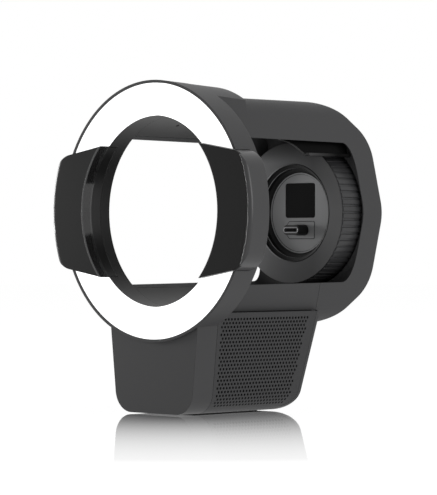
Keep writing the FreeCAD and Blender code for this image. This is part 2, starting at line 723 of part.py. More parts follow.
plug_front_d = disc_d - plug_reach
board_d = cup_back_d + 1.2
plug_shell = rounded_plate(plug_x, plug_z, plug_z / 2 - 0.01, island_h, plug_front_d, board_d)
plug_space = rounded_plate(plug_x - 2 * plug_wall, plug_z - 2 * plug_wall, plug_z / 2 - plug_wall - 0.01,
                           island_h, plug_front_d - 1, board_d - 0.5)
plug_shell = plug_shell.cut(plug_space)
save("usb_plug_shell", plug_shell)
boot_gap = 0.05
plug_boot = rounded_plate(boot_x, boot_z, boot_z / 2 - 0.01, island_h, plug_front_d + boot_back,
                          disc_d + disc_wall - 0.02)
plug_boot = plug_boot.cut(rounded_plate(plug_x + 2 * boot_gap, plug_z + 2 * boot_gap,
                                        plug_z / 2 + boot_gap - 0.01, island_h, plug_front_d, disc_d + 3))
save("plug_boot", plug_boot)
slot_space = rounded_plate(plug_x - 2 * plug_wall - 1.4, 0.75, 0.3, island_h, plug_front_d - 1, disc_d)
plug_insert = rounded_plate(plug_x - 2 * plug_wall - 0.04, plug_z - 2 * plug_wall - 0.04,
                            plug_z / 2 - plug_wall - 0.03, island_h, plug_front_d + 0.25, board_d - 0.6)
plug_insert = plug_insert.cut(slot_space)
save("usb_plug_insert", plug_insert)
dock_board = rod(recess_r - 2, board_d, board_d + 1.2)
save("dock_board", dock_board)
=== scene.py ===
import math

import bmesh
import bpy
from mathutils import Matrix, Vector
from mathutils.geometry import delaunay_2d_cdt


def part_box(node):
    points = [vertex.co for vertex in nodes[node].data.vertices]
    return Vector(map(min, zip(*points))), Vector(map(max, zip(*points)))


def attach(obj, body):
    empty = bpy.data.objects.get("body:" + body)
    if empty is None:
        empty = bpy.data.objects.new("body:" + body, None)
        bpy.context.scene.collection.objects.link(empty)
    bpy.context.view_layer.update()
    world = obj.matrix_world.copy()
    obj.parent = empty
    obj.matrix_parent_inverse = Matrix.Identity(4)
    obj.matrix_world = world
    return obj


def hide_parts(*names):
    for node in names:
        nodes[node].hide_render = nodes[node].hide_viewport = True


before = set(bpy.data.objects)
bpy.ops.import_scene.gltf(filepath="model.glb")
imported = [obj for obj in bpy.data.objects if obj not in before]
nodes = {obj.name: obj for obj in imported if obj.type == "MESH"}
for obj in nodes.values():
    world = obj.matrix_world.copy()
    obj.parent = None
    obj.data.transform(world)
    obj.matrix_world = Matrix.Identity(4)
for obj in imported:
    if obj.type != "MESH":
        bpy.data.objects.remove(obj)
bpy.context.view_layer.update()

mm = 0.001

# places that the rest is worked out from
shellLow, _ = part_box("front_shell")
discLow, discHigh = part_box("dock_disc")
axisZ = (discLow.z + discHigh.z) / 2
rimY = shellLow.y
print("frame loaded:", len(nodes), "nodes, ring axis", round(axisZ / mm, 1), "mm above the table")


# making objects and meshes
def addObject(name, data):
    thing = bpy.data.objects.new(name, data)
    bpy.context.scene.collection.objects.link(thing)
    return thing


def aimAt(thing, aim):
    thing.rotation_euler = (Vector(aim) - thing.location).to_track_quat("-Z", "Y").to_euler()


def faceOutward(mesh):
    edit = bmesh.new()
    edit.from_mesh(mesh)
    bmesh.ops.recalc_face_normals(edit, faces=edit.faces)
    edit.to_mesh(mesh)
    edit.free()


def smoothBelow(mesh, degrees):
    # smooth shading, with a hard edge where faces meet at more than an angle
    mesh.shade_smooth()
    mesh.set_sharp_from_angle(angle=math.radians(degrees))


# camera: level, to the right and in front
cameraChoice = {
    "azimuth": 46.0, "distance": 1.106, "belowAxis": 0.01455, "aimRight": 0.02684, "lens": 227.8,
    "nearest": 0.05,
}


def placeCamera(choice):
    angle = math.radians(choice["azimuth"])
    towardCamera = Vector((math.sin(angle), -math.cos(angle), 0))
    right = Vector((math.cos(angle), math.sin(angle), 0))
    level = Vector((0, rimY, axisZ - choice["belowAxis"]))
    data = bpy.data.cameras.new("camera")
    data.sensor_fit = "HORIZONTAL"
    data.lens = choice["lens"]
    data.clip_start = choice["nearest"]
    camera = addObject("camera", data)
    camera.location = level + towardCamera * choice["distance"]
    aimAt(camera, level + right * choice["aimRight"])
    bpy.context.scene.camera = camera


placeCamera(cameraChoice)
print("camera placed")


# making node trees
def plug(tree, node, sockets):
    for key, value in (sockets or {}).items():
        if isinstance(value, bpy.types.NodeSocket):
            tree.links.new(value, node.inputs[key])
        else:
            node.inputs[key].default_value = value
    return node


def addNode(tree, kind, sockets=None, **settings):
    node = tree.nodes.new(kind)
    for key, value in settings.items():
        setattr(node, key, value)
    return plug(tree, node, sockets)


def calculate(tree, operation, first, second=0.0, clamp=False):
    node = addNode(tree, "ShaderNodeMath", None, operation=operation, use_clamp=clamp)
    return plug(tree, node, {0: first, 1: second}).outputs[0]


def mapBetween(tree, value, low, high, outLow=0.0, outHigh=1.0):
    sockets = {"Value": value, "From Min": low, "From Max": high, "To Min": outLow, "To Max": outHigh}
    return addNode(tree, "ShaderNodeMapRange", sockets).outputs["Result"]


def mixColors(tree, factor, first, second):
    node = addNode(tree, "ShaderNodeMix", None, data_type="RGBA")
    return plug(tree, node, {0: factor, 6: first, 7: second}).outputs[2]


def flatLength(tree, across, up):
    # the straight distance that goes so far across and so far up
    line = addNode(tree, "ShaderNodeCombineXYZ", {"X": across, "Y": up, "Z": 0.0}).outputs[0]
    return addNode(tree, "ShaderNodeVectorMath", {0: line}, operation="LENGTH").outputs["Value"]


def noise(tree, place, scale, detail, **more):
    sockets = {"Vector": place, "Scale": scale, "Detail": detail}
    return addNode(tree, "ShaderNodeTexNoise", {**sockets, **more}).outputs["Fac"]


def newGroup(name, inputs, outputs):
    group = bpy.data.node_groups.new(name, "ShaderNodeTree")
    for label, kind, value in inputs:
        socket = group.interface.new_socket(name=label, in_out="INPUT", socket_type="NodeSocket" + kind)
        if value is not None:
            socket.default_value = value
    for label, kind in outputs:
        group.interface.new_socket(name=label, in_out="OUTPUT", socket_type="NodeSocket" + kind)
    given = group.nodes.new("NodeGroupInput").outputs
    result = group.nodes.new("NodeGroupOutput").inputs
    return group, given, result


def useGroup(tree, group, sockets):
    node = tree.nodes.new("ShaderNodeGroup")
    node.node_tree = group
    return plug(tree, node, sockets).outputs


# shared surface effects
def makeMouldGrain():
    # the fine spark-eroded grain of moulded plastic, and its slow change of tone
    group, given, result = newGroup("mouldGrain", [
        ("Place", "Vector", None), ("Grain Size", "Float", 0.3), ("Tone Spread", "Float", 0.06),
    ], [("Height", "Float"), ("Tone", "Float")])
    place = given["Place"]
    fineShare, cellShare = 0.6, 0.4
    middle = 1.0  # of two noises added up
    perMetre = calculate(group, "DIVIDE", 1 / mm, given["Grain Size"])
    fine = noise(group, place, scale=perMetre, detail=3.0, Roughness=0.6)
    cells = addNode(group, "ShaderNodeTexVoronoi", {"Vector": place, "Scale": perMetre},
                    feature="SMOOTH_F1").outputs["Distance"]
    height = calculate(group, "ADD", calculate(group, "MULTIPLY", fine, fineShare),
                       calculate(group, "MULTIPLY", cells, cellShare))
    broad = noise(group, place, scale=35.0, detail=4.0)
    both = calculate(group, "SUBTRACT", calculate(group, "ADD", broad, fine), middle)
    swing = calculate(group, "MULTIPLY", both, given["Tone Spread"])
    group.links.new(height, result["Height"])
    group.links.new(calculate(group, "ADD", 1.0, swing), result["Tone"])
    return group


def makeEdgeWear():
    # a mask on the outer edges, broken up where hands rub them, and the rounded edge's normal
    group, given, result = newGroup("edgeWear", [
        ("Place", "Vector", None), ("Reach", "Float", 0.0004), ("Amount", "Float", 0.5),
    ], [("Mask", "Float"), ("Normal", "Vector")])
    soft = addNode(group, "ShaderNodeBevel", {"Radius": given["Reach"]}, samples=4).outputs["Normal"]
    flat = addNode(group, "ShaderNodeNewGeometry").outputs["Normal"]
    match = addNode(group, "ShaderNodeVectorMath", {0: soft, 1: flat},
                    operation="DOT_PRODUCT").outputs["Value"]
    edge = mapBetween(group, match, low=0.995, high=0.75)
    broken = mapBetween(group, noise(group, given["Place"], scale=220.0, detail=5.0), low=0.35, high=0.65)
    rubbed = calculate(group, "MULTIPLY", edge, broken)
    mask = calculate(group, "MULTIPLY", rubbed, given["Amount"], clamp=True)
    group.links.new(mask, result["Mask"])
    group.links.new(soft, result["Normal"])
    return group


def makeHandling():
    # faint smears that change the gloss from place to place
    group, given, result = newGroup("handling", [
        ("Place", "Vector", None), ("Roughness", "Float", 0.5), ("Spread", "Float", 0.08),
    ], [("Roughness", "Float")])
    middle = 0.5
    smear = noise(group, given["Place"], scale=60.0, detail=6.0, Distortion=0.6)
    swing = calculate(group, "MULTIPLY", calculate(group, "SUBTRACT", smear, middle), given["Spread"])
    rough = calculate(group, "ADD", given["Roughness"], swing, clamp=True)
    group.links.new(rough, result["Roughness"])
    return group


def makeSettledDust():
    # a little dust on what faces up
    group, given, result = newGroup("settledDust", [
        ("Place", "Vector", None), ("Amount", "Float", 0.03),
    ], [("Mask", "Float")])
    flat = addNode(group, "ShaderNodeNewGeometry").outputs["Normal"]
    up = addNode(group, "ShaderNodeSeparateXYZ", {"Vector": flat}).outputs["Z"]
    specks = noise(group, given["Place"], scale=900.0, detail=2.0)
    level = mapBetween(group, up, low=0.4, high=1.0)
    thick = mapBetween(group, specks, low=0.5, high=0.7)
    lying = calculate(group, "MULTIPLY", level, thick)
    group.links.new(calculate(group, "MULTIPLY", lying, given["Amount"]), result["Mask"])
    return group


def makeTurnedMarks():
    # fine rings left by the lathe round the module's axis
    group, given, result = newGroup("turnedMarks", [
        ("Place", "Vector", None), ("Axis Height", "Float", 0.08), ("Marks per mm", "Float", 6.0),
    ], [("Height", "Float")])
    parts = addNode(group, "ShaderNodeSeparateXYZ", {"Vector": given["Place"]}).outputs
    above = calculate(group, "SUBTRACT", parts["Z"], given["Axis Height"])
    radius = flatLength(group, parts["X"], above)
    marks = calculate(group, "MULTIPLY", radius, calculate(group, "DIVIDE", given["Marks per mm"], mm))
    line = addNode(group, "ShaderNodeTexNoise", {"W": marks, "Scale": 1.0, "Detail": 2.0},
                   noise_dimensions="1D").outputs["Fac"]
    group.links.new(line, result["Height"])
    return group


def makeBoreMask():
    # masks on the pods' bore: all of it, and the polished strip in front of a given depth
    group, given, result = newGroup("boreMask", [
        ("Place", "Vector", None), ("Axis Height", "Float", 0.08), ("Radius", "Float", 0.039),
        ("Strip End", "Float", 0.003),
    ], [("Bore", "Float"), ("Strip", "Float")])
    parts = addNode(group, "ShaderNodeSeparateXYZ", {"Vector": given["Place"]}).outputs
    above = calculate(group, "SUBTRACT", parts["Z"], given["Axis Height"])
    radius = flatLength(group, parts["X"], above)
    bore = calculate(group, "LESS_THAN", radius, given["Radius"])
    front = calculate(group, "LESS_THAN", parts["Y"], given["Strip End"])
    group.links.new(bore, result["Bore"])
    group.links.new(calculate(group, "MULTIPLY", bore, front), result["Strip"])
    return group


def makeSideFade():
    # a mask that rises along a direction, used to paint light and shade on a surface
    group, given, result = newGroup("sideFade", [
        ("Place", "Vector", None), ("Direction", "Vector", (0, 1, 0)), ("Start", "Float", 0.0),
        ("End", "Float", 0.01), ("Bend", "Float", 1.0),
    ], [("Mask", "Float")])
    along = addNode(group, "ShaderNodeVectorMath", {0: given["Place"], 1: given["Direction"]},
                    operation="DOT_PRODUCT").outputs["Value"]
    rise = mapBetween(group, along, given["Start"], given["End"])
    group.links.new(calculate(group, "POWER", rise, given["Bend"]), result["Mask"])
    return group


mouldGrain = makeMouldGrain()
edgeWear = makeEdgeWear()
handling = makeHandling()
settledDust = makeSettledDust()
turnedMarks = makeTurnedMarks()
boreMask = makeBoreMask()
sideFade = makeSideFade()
print("shared surface effects made")


# materials
dustColor = (0.35, 0.34, 0.33, 1)
rightward, backward, upward = (1, 0, 0), (0, 1, 0), (0, 0, 1)


def emptyTree(owner):
    owner.use_nodes = True
    owner.node_tree.nodes.clear()
    return owner.node_tree


def startMaterial(name):
    material = bpy.data.materials.new(name)
    tree = emptyTree(material)
    surface = tree.nodes.new("ShaderNodeBsdfPrincipled")
    target = tree.nodes.new("ShaderNodeOutputMaterial")
    tree.links.new(surface.outputs["BSDF"], target.inputs["Surface"])
    place = addNode(tree, "ShaderNodeTexCoord").outputs["Object"]
    return material, tree, surface, place


def wearAndGloss(tree, place, look):
    # what every finish shares: rubbed edges and smears
    wear = useGroup(tree, edgeWear, {"Place": place, "Reach": look["edgeReach"],
                                     "Amount": look["edgeAmount"]})
    gloss = useGroup(tree, handling, {"Place": place, "Roughness": look["roughness"],
                                      "Spread": look["glossSpread"]})
    return wear, gloss


def mouldedPlastic(name, look):
    material, tree, surface, place = startMaterial(name)
    grain = useGroup(tree, mouldGrain, {"Place": place, "Grain Size": look["grainSize"],
                                        "Tone Spread": look["toneSpread"]})
    wear, gloss = wearAndGloss(tree, place, look)
    dust = useGroup(tree, settledDust, {"Place": place, "Amount": look["dust"]})
    toned = addNode(tree, "ShaderNodeVectorMath", {0: look["color"][:3], "Scale": grain["Tone"]},
                    operation="SCALE").outputs[0]
    worn = mixColors(tree, wear["Mask"], toned, look["wornColor"])
    dusty = mixColors(tree, dust["Mask"], worn, dustColor)
    bump = addNode(tree, "ShaderNodeBump", {"Height": grain["Height"], "Normal": wear["Normal"],
                                            "Strength": look["grainStrength"],
                                            "Distance": look["grainDepth"]})
    plug(tree, surface, {"Base Color": dusty, "Roughness": gloss["Roughness"],
                         "Normal": bump.outputs["Normal"], "Specular IOR Level": look["specular"],
                         "IOR": 1.5})
    return material


def takeUp(material):
    # what it takes to lay another colour over a finished plastic: its tree, shader, place and colour
    tree = material.node_tree
    surface = next(node for node in tree.nodes if node.type == "BSDF_PRINCIPLED")
    place = addNode(tree, "ShaderNodeTexCoord").outputs["Object"]
    return tree, surface, place, surface.inputs["Base Color"].links[0].from_socket


def podPlastic(name, look):
    # moulded plastic with a polished strip at the front of the bore and a black bore behind it
    material = mouldedPlastic(name, look)
    tree, surface, place, outside = takeUp(material)
    masks = useGroup(tree, boreMask, {"Place": place, "Axis Height": axisZ, "Radius": look["boreRadius"],
                                      "Strip End": rimY + look["stripDepth"]})
    plug(tree, surface, {"Base Color": mixColors(tree, masks["Bore"], outside, look["boreColor"]),
                         "Coat Weight": masks["Strip"], "Coat Roughness": look["stripRoughness"]})
    return material


def fadingPlastic(name, look):
    # moulded plastic that darkens toward the back, where the light doesn't reach
    material = mouldedPlastic(name, look)
    tree, surface, place, outside = takeUp(material)
    fade = useGroup(tree, sideFade, {"Place": place, "Direction": backward,
                                     "Start": rimY + look["fadeStart"], "End": rimY + look["fadeEnd"]})
    shine = mapBetween(tree, fade["Mask"], low=0.0, high=1.0, outLow=look["specular"],
                       outHigh=look["fadeSpecular"])
    plug(tree, surface, {"Base Color": mixColors(tree, fade["Mask"], outside, look["fadeColor"]),
                         "Specular IOR Level": shine})
    return material


def lighter(color, share):
    return tuple(min(1, c * share) for c in color[:3]) + (1,)


def plasticLook(color, **changes):
    look = {"color": color, "wornColor": lighter(color, 1.6), "roughness": 0.5, "specular": 0.2,
            "grainSize": 0.35, "grainDepth": 0.00002, "grainStrength": 0.5, "toneSpread": 0.06,
            "edgeReach": 0.0003, "edgeAmount": 0.4, "glossSpread": 0.08, "dust": 0.02}
    look.update(changes)
    return look


def anodisedMetal(name, look):
    # turned metal or its look, with another tone at its left side and toward its top: painted light at the
    # left side and painted shade toward the top
    material, tree, surface, place = startMaterial(name)
    marks = useGroup(tree, turnedMarks, {"Place": place, "Axis Height": axisZ,
                                         "Marks per mm": look["marksPerMm"]})
    wear, gloss = wearAndGloss(tree, place, look)
    # painted light: the left side takes the look's lit side colour
    side = useGroup(tree, sideFade, {"Place": place, "Direction": rightward, "Start": look["sideStart"],
                                     "End": look["sideEnd"], "Bend": look["sideBend"]})
    toned = mixColors(tree, side["Mask"], look["sideColor"], look["color"])
    # painted shade: toward the top the colour turns to the look's shaded top colour
    top = useGroup(tree, sideFade, {"Place": place, "Direction": upward,
                                    "Start": axisZ + look["topStart"], "End": axisZ + look["topEnd"]})
    shaded = mixColors(tree, top["Mask"], toned, look["topColor"])
    worn = mixColors(tree, wear["Mask"], shaded, look["wornColor"])
    bump = addNode(tree, "ShaderNodeBump", {"Height": marks["Height"], "Normal": wear["Normal"],
                                            "Strength": look["markStrength"], "Distance": look["markDepth"]})
    plug(tree, surface, {"Base Color": worn, "Roughness": gloss["Roughness"],
                         "Normal": bump.outputs["Normal"], "Metallic": look["metallic"],
                         "Specular IOR Level": look["specular"]})
    return material


def metalLook(color, **changes):
    look = {"color": color, "wornColor": lighter(color, 1.5), "roughness": 0.4, "metallic": 1.0,
            "specular": 0.5, "marksPerMm": 6.0, "markStrength": 0.3, "markDepth": 0.00001,
            "edgeReach": 0.00015, "edgeAmount": 0.3, "glossSpread": 0.06,
            "sideColor": color, "sideStart": -0.02, "sideEnd": 0.0, "sideBend": 1.0,
            "topColor": color, "topStart": 0.03, "topEnd": 0.04}
    look.update(changes)
    return look


def litDiffuser(name, look):
    # white plastic that glows, a little cloudy
    material, tree, surface, place = startMaterial(name)
    glow = mixColors(tree, noise(tree, place, scale=90.0, detail=3.0), look["glow"], look["glowDim"])
    plug(tree, surface, {"Base Color": look["color"], "Roughness": 0.5, "Emission Color": glow,
                         "Emission Strength": look["strength"]})
    return material


# what the two pod finishes share: the bore behind the front, and its polished strip
boreLook = {"boreRadius": 0.0393, "boreColor": (0.004, 0.004, 0.004, 1), "stripDepth": 0.0029,
            "stripRoughness": 0.08}

plastics = {
    "shellPlastic": plasticLook((0.036, 0.036, 0.037, 1)),
    "bayPlastic": plasticLook((0.012, 0.012, 0.012, 1), roughness=0.42, dust=0.0),
    # the near rail's black plate is painted shade under the window's edge; the far rail's lighter grey is
    # painted light
    "railPlastic": plasticLook((0.002, 0.002, 0.002, 1), roughness=0.4, specular=0.03, dust=0.0),
    "farRailPlastic": plasticLook((0.055, 0.055, 0.056, 1), dust=0.0),
    "lipEdge": plasticLook((0.05, 0.05, 0.051, 1), roughness=0.3, specular=0.3, dust=0.0),
    "grillePaint": plasticLook((0.034, 0.034, 0.035, 1), roughness=0.55, grainSize=0.25, specular=0.15),
    "moduleBlack": plasticLook((0.008, 0.008, 0.008, 1), roughness=0.38, dust=0.0),
    "cupBlack": plasticLook((0.006, 0.006, 0.006, 1), roughness=0.38, specular=0.1, dust=0.0),
    "discPaint": plasticLook((0.23, 0.232, 0.235, 1), roughness=0.42, dust=0.0),
    "glossBlack": plasticLook((0.003, 0.003, 0.003, 1), roughness=0.2, specular=0.05, grainStrength=0.0,
                              dust=0.0),
    # black sheet behind the grille holes: painted shade
    "blackCloth": plasticLook((0.004, 0.004, 0.004, 1), roughness=0.9, specular=0.05, grainSize=0.2,
                              dust=0.0),
    "boardGreen": plasticLook((0.01, 0.05, 0.02, 1), roughness=0.35, dust=0.0),
    "ledYellow": plasticLook((0.7, 0.6, 0.25, 1), roughness=0.25, dust=0.0),
    "batteryWrap": plasticLook((0.02, 0.05, 0.2, 1), roughness=0.3, dust=0.0),
    "padRubber": plasticLook((0.012, 0.012, 0.012, 1), roughness=0.8, dust=0.0),
}
podPlastics = {
    "windowPlastic": plasticLook((0.004, 0.004, 0.004, 1), roughness=0.45, specular=0.1, edgeAmount=0.2,
                                 **boreLook),
    "podPlastic": plasticLook((0.03, 0.03, 0.031, 1), roughness=0.3, specular=0.35, **boreLook),
}
fadingPlastics = {
    # the rail lip darkens to black toward the back, painted shade, and on the near rail's front end its
    # lighter tone is a painted highlight
    "railLipPlastic": plasticLook((0.025, 0.025, 0.025, 1), roughness=0.35, specular=0.25, dust=0.0,
                                  fadeStart=0.064, fadeEnd=0.082, fadeColor=(0.002, 0.002, 0.002, 1),
                                  fadeSpecular=0.02),
}
metals = {
    # face ring: its lighter left side is painted light, and its darker top is a painted shadow under the
    # ceiling
    "faceMetal": metalLook((0.026, 0.026, 0.027, 1), roughness=0.45, metallic=0.0, specular=0.08,
                           sideColor=(0.19, 0.191, 0.194, 1), sideStart=-0.018, sideEnd=0.012, sideBend=0.7,
                           topColor=(0.02, 0.02, 0.02, 1), topStart=0.021, topEnd=0.030),
    # edge beads: black, with a lighter left side that is a painted highlight
    "edgeMetal": metalLook((0.004, 0.004, 0.004, 1), roughness=0.3, metallic=0.0, specular=0.1,
                           sideColor=(0.3, 0.302, 0.306, 1), sideStart=-0.014, sideEnd=0.002),
    "knurlMetal": metalLook((0.025, 0.025, 0.026, 1), roughness=0.38, metallic=0.0, specular=0.3,
                            marksPerMm=3.0),
    "plugMetal": metalLook((0.22, 0.22, 0.225, 1), roughness=0.3, marksPerMm=1.0),
}
diffusers = {
    "litDiffuser": {"color": (0.8, 0.8, 0.8, 1), "glow": (1, 1, 1, 1), "glowDim": (0.97, 0.97, 0.97, 1),
                    "strength": 1.0},
}

finishes = {}
for makeFinish, looks in ((mouldedPlastic, plastics), (podPlastic, podPlastics),
                          (fadingPlastic, fadingPlastics), (anodisedMetal, metals),
                          (litDiffuser, diffusers)):
    for name, look in looks.items():
        finishes[name] = makeFinish(name, look)

nodeFinish = {
    "shellPlastic": ["front_shell", "main_housing", "base_body", "rear_cover"],
    "podPlastic": ["left_pod", "right_pod"],
    "windowPlastic": ["left_pod_window", "right_pod_window"],
    "bayPlastic": ["ring_sleeve", "upper_liner", "lower_liner", "left_speaker", "right_speaker"],
    "grillePaint": ["left_grille", "right_grille"],
    "moduleBlack": ["module_barrel", "usb_plug_insert", "plug_boot"],
    "cupBlack": ["dock_cup"],
    "faceMetal": ["face_ring"],
    "knurlMetal": ["knurled_ring"],
    "discPaint": ["dock_disc", "plug_island"],
    "glossBlack": ["display_window", "left_camera", "right_camera"],
    "plugMetal": ["usb_plug_shell"],
    "litDiffuser": ["upper_light", "lower_light"],
    "boardGreen": ["upper_led_board", "lower_led_board", "left_camera_board", "right_camera_board",
                   "main_board", "dock_board"],
    "ledYellow": ["led_chips"],
    "batteryWrap": ["battery_pack"],
    "padRubber": ["foot_pad"],
}
for finish, names in nodeFinish.items():
    for name in names:
        mesh = nodes[name].data
        mesh.materials.clear()
        mesh.materials.append(finishes[finish])
print("materials made:", len(finishes))


# perforated grilles, bent round the base's lower edge, sizes in mm and lean as a slope
grilleChoice = {
    "pitch": 1.775, "rowPitch": 1.537, "rows": 24, "holeRadius": 0.55, "holeSides": 10,
    "firstRow": 3.0, "frontMargin": 2.4, "rearMargin": 4.5,
    "lean": 0.1045, "cornerRadius": 9.2, "rearLean": 0.24, "rearInset": 1.65, "wall": 1.2,
    "arcStep": 0.8, "seedStep": 2.5, "topGap": 0.4, "sharpAngle": 40,
    "clothDepth": 1.25, "clothTop": 0.02, "clothFront": 0.1, "clothRear": 2.0, "clothSteps": 40,
}


class BentSheet:
    # the grille's outline as lengths down the side, round the corner and under the base, all in mm

    def __init__(self, node, choice):
        low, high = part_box(node)
        self.low = low / mm
        self.high = high / mm
        self.choice = choice
        self.tilt = math.atan(choice["lean"])
        radius = choice["cornerRadius"]
        drop = self.high.z - self.low.z
        self.side = drop / math.cos(self.tilt) - radius / math.tan((math.pi / 2 + self.tilt) / 2)
        self.arc = radius * (math.pi / 2 - self.tilt)
        turnX = self.high.x - self.side * math.sin(self.tilt) - radius * math.cos(self.tilt)
        turnZ = self.high.z - self.side * math.cos(self.tilt) + radius * math.sin(self.tilt)
        self.turn = (turnX, turnZ)
        self.length = self.side + self.arc + turnX - self.low.x

    def at(self, s, y, depth=0.0):
        if s < self.side:
            x = self.high.x - s * math.sin(self.tilt)
            z = self.high.z - s * math.cos(self.tilt)
            outX, outZ = math.cos(self.tilt), -math.sin(self.tilt)
        elif s < self.side + self.arc:
            radius = self.choice["cornerRadius"]
            angle = self.tilt + (s - self.side) / radius
            outX, outZ = math.cos(angle), -math.sin(angle)
            x = self.turn[0] + radius * outX
            z = self.turn[1] + radius * outZ
        else:
            x = self.turn[0] - (s - self.side - self.arc)
            z = self.low.z
            outX, outZ = 0.0, -1.0
        return Vector((x - depth * outX, y, z - depth * outZ)) * mm

    def rearEdge(self, s):
        z = self.at(s, 0).z / mm
        lean = math.atan(self.choice["rearLean"])
        inset = self.choice["rearInset"]
        radius = self.choice["cornerRadius"] - inset
        centreZ = self.low.z + inset + radius
        centreY = self.high.y - self.choice["rearLean"] * (self.high.z - centreZ) - radius / math.cos(lean)
        if z > centreZ - radius * math.sin(lean):
            return self.high.y - self.choice["rearLean"] * (self.high.z - z)
        if z > self.low.z + inset:
            return centreY + math.sqrt(radius ** 2 - (z - centreZ) ** 2)
        return centreY


def closedLoop(points, loop, edges):
    first = len(points)
    points.extend(loop)
    count = len(loop)
    edges.extend((first + i, first + (i + 1) % count) for i in range(count))


def grilleOutline(sheet):
    steps = [sheet.choice["topGap"], sheet.side / 2]
    bends = int((sheet.length - sheet.side) / sheet.choice["arcStep"])
    steps += [sheet.side + (sheet.length - sheet.side) * i / bends for i in range(bends + 1)]
    front = [(s, sheet.low.y) for s in steps]
    rear = [(s, sheet.rearEdge(s)) for s in reversed(steps)]
    return front + rear


def grilleHoles(sheet):
    choice = sheet.choice
    radius = choice["holeRadius"]
    turn = 2 * math.pi / choice["holeSides"]
    holes = []
    for row in range(choice["rows"]):
        s = choice["firstRow"] + row * choice["rowPitch"]
        y = sheet.low.y + choice["frontMargin"] + (row % 2) * choice["pitch"] / 2
        while y < sheet.rearEdge(s) - choice["rearMargin"]:
            holes.append([(s + radius * math.cos(i * turn), y + radius * math.sin(i * turn))
                          for i in range(choice["holeSides"])])
            y += choice["pitch"]
    return holes


def seedPoints(sheet):
    # loose points that keep the part without holes evenly divided round the bend
    choice = sheet.choice
    points = []
    s = choice["firstRow"] + choice["rows"] * choice["rowPitch"]
    while s < sheet.length - choice["arcStep"]:
        y = sheet.low.y + choice["seedStep"]
        while y < sheet.rearEdge(s) - choice["seedStep"]:
            points.append((s, y))
            y += choice["seedStep"]
        s += choice["arcStep"]
    return points


def insideHole(face, sources, firstHole, count, sides):
    # true where all corners of a triangle lie on the rim of one hole
    owners = set()
    for corner in face:
        given = sources[corner]
        owners.add((given[0] - firstHole) // sides if given and given[0] >= firstHole else -1)
    return len(owners) == 1 and 0 <= min(owners) < count


def bendPiece(name, side, corners, faces, finish):
    mesh = bpy.data.meshes.new(name)
    turned = [face[::-1] for face in faces] if side > 0 else faces
    mesh.from_pydata([(side * v.x, v.y, v.z) for v in corners], [], turned)
    mesh.materials.append(finishes[finish])
    smoothBelow(mesh, grilleChoice["sharpAngle"])
    piece = addObject(name, mesh)
    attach(piece, "housing")
    return piece


def layCloth(name, sheet, side):
    # a black sheet laid behind the holes: painted shade that darkens them
    choice = sheet.choice
    steps = choice["clothSteps"]
    length = choice["firstRow"] + choice["rows"] * choice["rowPitch"]
    corners = []
    for i in range(steps + 1):
        s = choice["clothTop"] + (length - choice["clothTop"]) * i / steps
        corners.append(sheet.at(s, sheet.low.y + choice["clothFront"], choice["clothDepth"]))
        corners.append(sheet.at(s, sheet.rearEdge(s) - choice["clothRear"], choice["clothDepth"]))
    faces = [(2 * i, 2 * i + 1, 2 * i + 3, 2 * i + 2) for i in range(steps)]
    bendPiece(name, side, corners, faces, "blackCloth")


def makeGrille(name, node, side, choice):
    sheet = BentSheet("right_grille", choice)
    points, edges = [], []
    closedLoop(points, grilleOutline(sheet), edges)
    firstHole = len(points)
    holes = grilleHoles(sheet)
    for hole in holes:
        closedLoop(points, hole, edges)
    points += seedPoints(sheet)
    insideOnly, nearness = 1, 1e-6
    flat, _, faces, sources, _, _ = delaunay_2d_cdt([Vector(p) for p in points], edges, [],
                                                    insideOnly, nearness)
    faces = [face for face in faces
             if not insideHole(face, sources, firstHole, len(holes), choice["holeSides"])]
    count = len(flat)
    outer = [sheet.at(p.x, p.y) for p in flat]
    inner = [sheet.at(p.x, p.y, choice["wall"]) for p in flat]
    seen = {(a, b) for face in faces for a, b in zip(face, face[1:] + face[:1])}
    rims = [(a, b) for a, b in seen if (b, a) not in seen]
    skins = [tuple(face) for face in faces]
    skins += [tuple(i + count for i in reversed(face)) for face in faces]
    walls = [(b, a, a + count, b + count) for a, b in rims]
    piece = bendPiece(name, side, outer + inner, skins + walls, "grillePaint")
    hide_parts(node)
    # the black sheet behind the holes is painted shade
    layCloth(name + "Cloth", sheet, side)
    return len(holes), len(piece.data.polygons)


for name, node, side in (("rightGrillePanel", "right_grille", 1), ("leftGrillePanel", "left_grille", -1)):
    print(name, "holes and faces:", makeGrille(name, node, side, grilleChoice))


# guide rails under the ceiling: a thin plate with a curved front end and a rounded lip
# outline: depth behind the rim and height above the axis, in mm, first down the front end and then back
# frontFaces: the outline's edges, from the first to before the last, that take the lip's finish; on the near
# rail that finish is lighter than the plate, a painted highlight along the front end
railChoice = {
    "outline": [(51.2, 33.0), (51.35, 29.25), (53.4, 29.0), (55.3, 28.64), (57.0, 28.15), (58.6, 27.5),
                (60.3, 26.6), (61.9, 25.56), (63.2, 24.7), (64.3, 24.0), (65.0, 23.5), (65.8, 23.05),
                (90.3, 23.05), (90.3, 33.0)],
    "frontFaces": (0, 11), "plateInset": 2.6, "plateWall": 1.4, "apex": 32.4, "slope": 0.239,
    "lipFront": 64.6, "lipEnd": 90.3, "lipHeights": (23.05, 24.4), "lipInset": 0.8, "lipTuck": 0.2,
    "lipRound": 0.35, "lipRoundCut": 0.3, "lipSlant": 0.6, "sharpAngle": 30,
}


def railSection(choice):
    # the lip's cross section, from inside the plate round its two rounded outer edges
    low, high = choice["lipHeights"]
    bend = choice["lipRound"]
    cut = bend * choice["lipRoundCut"]
    inner = choice["apex"] - choice["slope"] * low - choice["plateInset"] - choice["lipTuck"]
    outer = choice["apex"] - choice["slope"] * high - choice["lipInset"]
    section = [(inner, low), (outer - bend, low), (outer - cut, low + cut), (outer, low + bend),
               (outer, high - bend), (outer - cut, high - cut), (outer - bend, high), (inner, high)]
    return section, outer - bend


